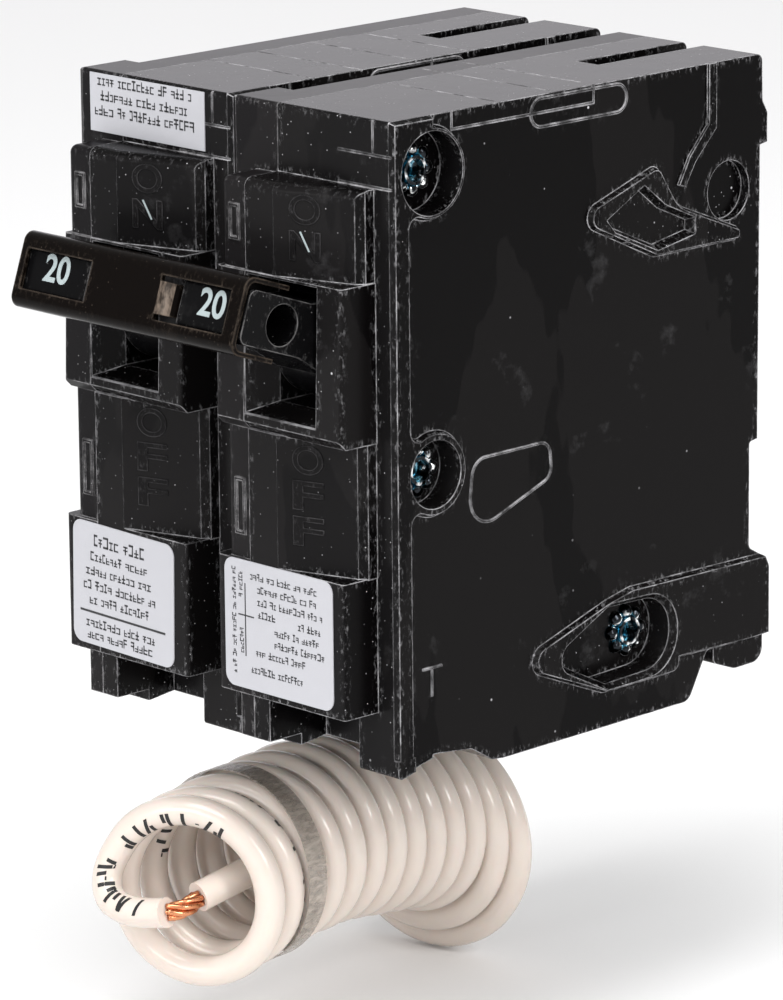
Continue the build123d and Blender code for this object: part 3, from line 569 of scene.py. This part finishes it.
# black print along the lead: where a row starts and ends, as distances back from the cut end in millimetres,
# and the point that its marks face
PRINT_ROWS = [
    (2.5, 13.0, (60, -90, 60)), (15.5, 31.0, (-2, -16, -20)), (84.0, 116.0, (40, 70, 10)),
    (132.0, 139.0, (-8, 0, -19)), (196.0, 206.0, (-8, 0, -19)),
]
PRINT_PITCH = 1.0
PRINT_STROKE = 0.46
PRINT_HALF_ANGLE = 0.6


def print_stroke(at, way, side, low, high, slant):
    """The outline of one stroke wrapped across the lead, from one angle to another, slanting along it."""
    up = way.cross(side)
    points = []
    for k in range(5):
        angle = low + (high - low) * k / 4
        out = (side * cos(angle) + up * sin(angle)) * (WIRE_R + 0.02) / 1000
        along = slant * angle / PRINT_HALF_ANGLE
        points += [at + out + way * (along + edge * PRINT_STROKE / 2) / 1000 for edge in (-1, 1)]
    return points


def make_print(line):
    """Rows of short dark strokes, with no lettering, wrapped on the lead's surface."""
    rows = random.Random(4)
    frames = frames_along(line)
    total = frames[-1][2]
    points, faces = [], []
    for start, end, target in PRINT_ROWS:
        run = start
        while run < end:
            at, way, _ = min(frames, key=lambda row: abs(total - row[2] - run / 1000))
            facing = spot(*target) - at
            side = (facing - way * way.dot(facing)).normalized()
            low = -PRINT_HALF_ANGLE * rows.choice((1, 1, 0.1))
            high = PRINT_HALF_ANGLE * rows.choice((1, 1, 0.1))
            first = len(points)
            points += print_stroke(at, way, side, low, high, rows.choice((-0.4, 0, 0, 0.4)))
            corners = range(first, first + 8, 2)
            faces += [(corner, corner + 1, corner + 3, corner + 2) for corner in corners]
            run += PRINT_PITCH * rows.choice((0.8, 1, 1, 1.9))
    return mesh_piece("lead_print", points, faces, MATERIALS["print"])


BAND_AT, BAND_FACE = (-8.6, 7.6, -18.8), 7
BAND_INNER, BAND_OUTER, BAND_WIDE = 11.3, 11.45, 3.0
BAND_SEGMENTS = 72


def make_band():
    """The clear band round the coil, a thin ring with its face turned towards +X by BAND_FACE degrees."""
    across = Vector((cos(radians(BAND_FACE)), sin(radians(BAND_FACE)), 0))
    along = Vector((-across.y, across.x, 0))
    points, faces = [], []
    for segment in range(BAND_SEGMENTS):
        angle = 2 * pi * segment / BAND_SEGMENTS
        out = across * cos(angle) + Vector((0, 0, sin(angle)))
        for radius, half in ((BAND_INNER, -0.5), (BAND_INNER, 0.5), (BAND_OUTER, 0.5), (BAND_OUTER, -0.5)):
            points.append(spot(*(Vector(BAND_AT) + out * radius + along * BAND_WIDE * half)))
        here, ahead = 4 * segment, 4 * ((segment + 1) % BAND_SEGMENTS)
        faces += [(here + k, here + (k + 1) % 4, ahead + (k + 1) % 4, ahead + k) for k in range(4)]
    band = mesh_piece("clear_band", points, faces, MATERIALS["band"])
    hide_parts("coil_band")
    return band


lead = make_lead()
lead_line = line_of(lead)
strands = make_strands()
lead_marks = make_print(lead_line)
clear_band = make_band()

# ---------------------------------------------------------------- print on the labels and the tie


def plates(name, boxes, material, body="case"):
    """Thin flat plates in one mesh; each is four corners at the back and how far it stands out, in mm."""
    points, faces = [], []
    for corners, out in boxes:
        first = len(points)
        points += [spot(*corner) for corner in corners]
        points += [spot(*(Vector(corner) + Vector(out))) for corner in corners]
        ring = [(k, (k + 1) % 4) for k in range(4)]
        faces += [tuple(first + k for k in (3, 2, 1, 0)), tuple(first + 4 + k for k in range(4))]
        faces += [(first + a, first + b, first + 4 + b, first + 4 + a) for a, b in ring]
    return mesh_piece(name, points, faces, material, body)


INK = (0, -0.03, 0)         # how far print stands out of a label
TOP_LABEL_FRONT = -0.12
LABEL_FRONT = -5.12


def on_label(left, top, turn, y):
    """Turns label coordinates, right and down from its top left corner, into drawing coordinates."""
    lean = radians(turn)

    def place(right, down):
        return (left + right * cos(lean) - down * sin(lean), y, top - right * sin(lean) - down * cos(lean))
    return place


def mark(place, x0, x1, z0, z1):
    return [place(x0, z1), place(x1, z1), place(x1, z0), place(x0, z0)], INK


# the strokes of a made-up character, as left, right, low and high shares of its box
UPRIGHTS = [(0, 0.24, 0, 1), (0.76, 1, 0, 1), (0.38, 0.62, 0, 1)]
CROSS_STROKES = [(0, 1, 0.82, 1), (0, 1, 0.42, 0.58), (0, 1, 0, 0.18)]


def word_row(place, x0, x1, middle, height, rows, upright=False):
    """A row of made-up characters in word-like groups; upright rows run along the label's height."""
    marks = []
    at = x0
    while at < x1:
        for _ in range(rows.randint(2, 8)):
            wide = height * rows.choice((0.42, 0.52, 0.52, 0.62))
            if at + wide > x1:
                break
            tall = height * rows.choice((0.72, 0.72, 1.0))
            low = middle + height / 2
            for left, right, under, over in rows.sample(UPRIGHTS, 1) + rows.sample(CROSS_STROKES, 2):
                run = at + wide * left, at + wide * right
                rise = low - tall * over, low - tall * under
                marks.append(mark(place, *rise, *run) if upright else mark(place, *run, *rise))
            at += wide + height * 0.16
        at += height * 0.5
    return marks


def word_rows(place, spans, height, rows, upright=False):
    """Rows of one height, each given by its start, its end and its middle."""
    marks = []
    for span in spans:
        marks += word_row(place, *span, height, rows, upright)
    return marks


# rows in millimetres right and down from a label's top left corner: start, end and middle;
# on upright rows the start and end run down and the middle is to the right
TOP_ROWS = [(1.3, 17.2, 0.75), (1.8, 16.8, 2.45), (0.8, 17.8, 4.15)]
LEFT_HEADING = [(3.6, 13.2, 2.0)]
LEFT_ROWS = [(3.0, 12.6, 3.9), (2.2, 13.7, 5.6), (1.8, 14.0, 7.3), (2.8, 13.6, 9.0)]
LEFT_LOW_ROWS = [(2.2, 14.2, 11.7), (2.4, 14.0, 13.1)]
RIGHT_UPRIGHT_ROWS = [(1.0, 13.2, 1.5), (1.4, 4.4, 2.6), (7.8, 11.0, 2.7)]
RIGHT_ROWS = [
    (4.2, 15.2, 1.6), (5.3, 15.0, 3.0), (5.3, 16.2, 4.4), (5.4, 8.6, 5.8), (11.8, 15.6, 6.0),
    (8.0, 15.6, 7.4), (8.0, 16.0, 8.8), (5.0, 13.0, 10.2), (4.2, 13.0, 12.2),
]
# printed lines: left, right, top and bottom
LEFT_LINE = (1.2, 15.6, 10.35, 10.6)
RIGHT_LINES = [(3.25, 3.4, 2.6, 10.9), (2.2, 4.7, 6.2, 6.35)]


def make_label_print():
    """Dark rows on the three labels where the real ones carry their text."""
    rows = random.Random(7)
    top = on_label(-23.3, 72.3, 0, TOP_LABEL_FRONT)
    plates("left_top_label_print", word_rows(top, TOP_ROWS, 1.15, rows), MATERIALS["ink"])
    left = on_label(-POLE + 3.3, 22.1, 1.2, LABEL_FRONT)
    marks = word_rows(left, LEFT_HEADING, 1.35, rows) + word_rows(left, LEFT_ROWS, 1.05, rows)
    marks.append(mark(left, *LEFT_LINE))
    marks += word_rows(left, LEFT_LOW_ROWS, 1.05, rows)
    plates("left_front_label_print", marks, MATERIALS["ink"])
    right = on_label(3.3, 22.3, 0, LABEL_FRONT)
    marks = word_rows(right, RIGHT_UPRIGHT_ROWS, 0.62, rows, upright=True)
    marks += [mark(right, *line) for line in RIGHT_LINES]
    marks += word_rows(right, RIGHT_ROWS, 0.82, rows)
    plates("right_front_label_print", marks, MATERIALS["ink"])


# ---------------------------------------------------------------- the handles' 20 and the flags' ON and OFF

TILT = radians(19.1)
PIVOT = Vector((0, 2.6, 46.9))
LEVER_WAY = Vector((0, -cos(TILT), sin(TILT)))
LEVER_UP = Vector((0, sin(TILT), cos(TILT)))
RATINGS = [("left_rating", -12.4), ("right_rating", 12.9)]      # name and middle across the poles
RATING_REACH, RATING_RISE = 18.62, 0.6      # from the pivot, along the lever and up from it
RATING_WIDE, RATING_TALL, RATING_THICK = 4.1, 3.15, 0.06


def text_piece(name, text, wide, tall, thick, material, body, middle, right, up):
    """Raised characters as a mesh, fitted to a width and height about a point, along two directions."""
    curve = bpy.data.curves.new(name, "FONT")
    curve.body = text
    curve.size = tall
    curve.extrude = thick / 2
    curve.offset = 0.02 * tall
    curve.resolution_u = 6
    maker = bpy.data.objects.new(name + "_maker", curve)
    bpy.context.collection.objects.link(maker)
    bpy.context.view_layer.update()
    mesh = bpy.data.meshes.new_from_object(maker.evaluated_get(bpy.context.evaluated_depsgraph_get()))
    bpy.data.objects.remove(maker)
    across, upward = Vector(right).normalized(), Vector(up).normalized()
    turn = Matrix((across, upward, across.cross(upward))).transposed()
    xs = [vertex.co.x for vertex in mesh.vertices]
    ys = [vertex.co.y for vertex in mesh.vertices]
    for vertex in mesh.vertices:
        x = (vertex.co.x - (min(xs) + max(xs)) / 2) * wide / (max(xs) - min(xs))
        y = (vertex.co.y - (min(ys) + max(ys)) / 2) * tall / (max(ys) - min(ys))
        vertex.co = spot(*(Vector(middle) + turn @ Vector((x, y, vertex.co.z))))
    mesh.materials.clear()
    mesh.materials.append(material)
    obj = bpy.data.objects.new(name, mesh)
    bpy.context.collection.objects.link(obj)
    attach(obj, body)
    return obj


def make_ratings():
    """The number on each handle, seen through the tie's windows."""
    for name, x in RATINGS:
        middle = PIVOT + LEVER_WAY * RATING_REACH + LEVER_UP * RATING_RISE + Vector((x, 0, 0))
        text_piece(name, "20", RATING_WIDE, RATING_TALL, RATING_THICK, MATERIALS["paint"], "handles",
                   middle, (1, 0, 0), LEVER_UP)


FLAG_X = 15.7               # across a pole, where the letters' middle stands
FLAG_CREASE_X, FLAG_CREASE_DEPTH = 11.9, -5.0
FLAG_SLOPE = (2.9, 9.7)     # how far a flag falls back, over its width right of the crease
LETTER_WIDE, LETTER_TALL, LETTER_PITCH = 3.9, 3.3, 4.0
LETTER_THICK, LETTER_LIFT = 0.14, 0.02
FLAGS = [("on", "ON", 62.5), ("off", "OFF", 34.9)]      # name, letters and the height of the first one
# the bare line across each N: its corners about the letter's middle
SCRATCH = [(-0.65, 1.55), (-0.46, 1.62), (0.65, -0.5), (0.46, -0.57)]
SCRATCH_THICK, SCRATCH_LIFT = 0.06, 0.05


def make_flags():
    """Raised ON and OFF on the sloping flags, one letter below the other."""
    across = Vector((FLAG_SLOPE[1], FLAG_SLOPE[0], 0)).normalized()
    out = Vector((across.y, -across.x, 0))
    depth = FLAG_CREASE_DEPTH + (FLAG_X - FLAG_CREASE_X) * FLAG_SLOPE[0] / FLAG_SLOPE[1]
    for side, left in POLE_LEFT.items():
        for flag, letters, top in FLAGS:
            for place, letter in enumerate(letters):
                middle = Vector((left + FLAG_X, depth, top - place * LETTER_PITCH)) + out * LETTER_LIFT
                text_piece(f"{side}_{flag}_letter_{place + 1}", letter, LETTER_WIDE, LETTER_TALL,
                           LETTER_THICK, MATERIALS["letters"], "case", middle, across, (0, 0, 1))
                if letter == "N":
                    start = middle + out * SCRATCH_LIFT
                    corners = [start + across * x + Vector((0, 0, z)) for x, z in SCRATCH]
                    plates(f"{side}_n_scratch", [(corners, out * SCRATCH_THICK)], MATERIALS["paint"])


make_label_print()
make_ratings()
make_flags()

# ---------------------------------------------------------------- floor and light


def make_stage():
    low = min(corner.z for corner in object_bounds())
    bpy.ops.mesh.primitive_plane_add(size=12, location=(0, 0, low - 0.0002))
    floor = bpy.context.object
    floor.name = "studio_floor"
    floor.data.materials.append(plain("floor_pale", (0.86, 0.86, 0.86), 0.9, spread=0.0))
    floor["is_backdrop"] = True


def area_light(name, at, aim, size, power, colour):
    data = bpy.data.lights.new(name, "AREA")
    data.shape = "RECTANGLE"
    data.size, data.size_y = size
    data.energy = power
    data.color = colour
    obj = bpy.data.objects.new(name, data)
    obj.location = Vector(at)
    obj.rotation_euler = (Vector(aim) - Vector(at)).to_track_quat("-Z", "Y").to_euler()
    bpy.context.collection.objects.link(obj)


WHITE, COOL = (1, 1, 1), (0.97, 0.93, 1.0)
# name, place, aim, width and height in metres, power and colour
LIGHTS = [
    ("key_over", (0.15, -0.45, 0.95), (0, 0, 0), (0.6, 0.6), 8, WHITE),
    ("right_box", (1.0, -0.08, 0.55), (0, -0.02, -0.01), (0.25, 0.6), 7, WHITE),
    ("front_fill", (0.05, -0.95, 0.28), (0, -0.03, -0.03), (0.5, 0.3), 3, WHITE),
    ("top_sheen", (-1.05, 1.0, 0.42), (0, 0, 0.03), (1.3, 0.55), 2.4, COOL),
]
WORLD_STRENGTH = 0.62


def make_light():
    world = bpy.data.worlds.new("studio")
    world.use_nodes = True
    world.node_tree.nodes["Background"].inputs["Color"].default_value = (*WHITE, 1)
    world.node_tree.nodes["Background"].inputs["Strength"].default_value = WORLD_STRENGTH
    bpy.context.scene.world = world
    bpy.context.scene.view_settings.view_transform = "Standard"
    for light in LIGHTS:
        area_light(*light)


make_stage()
make_light()
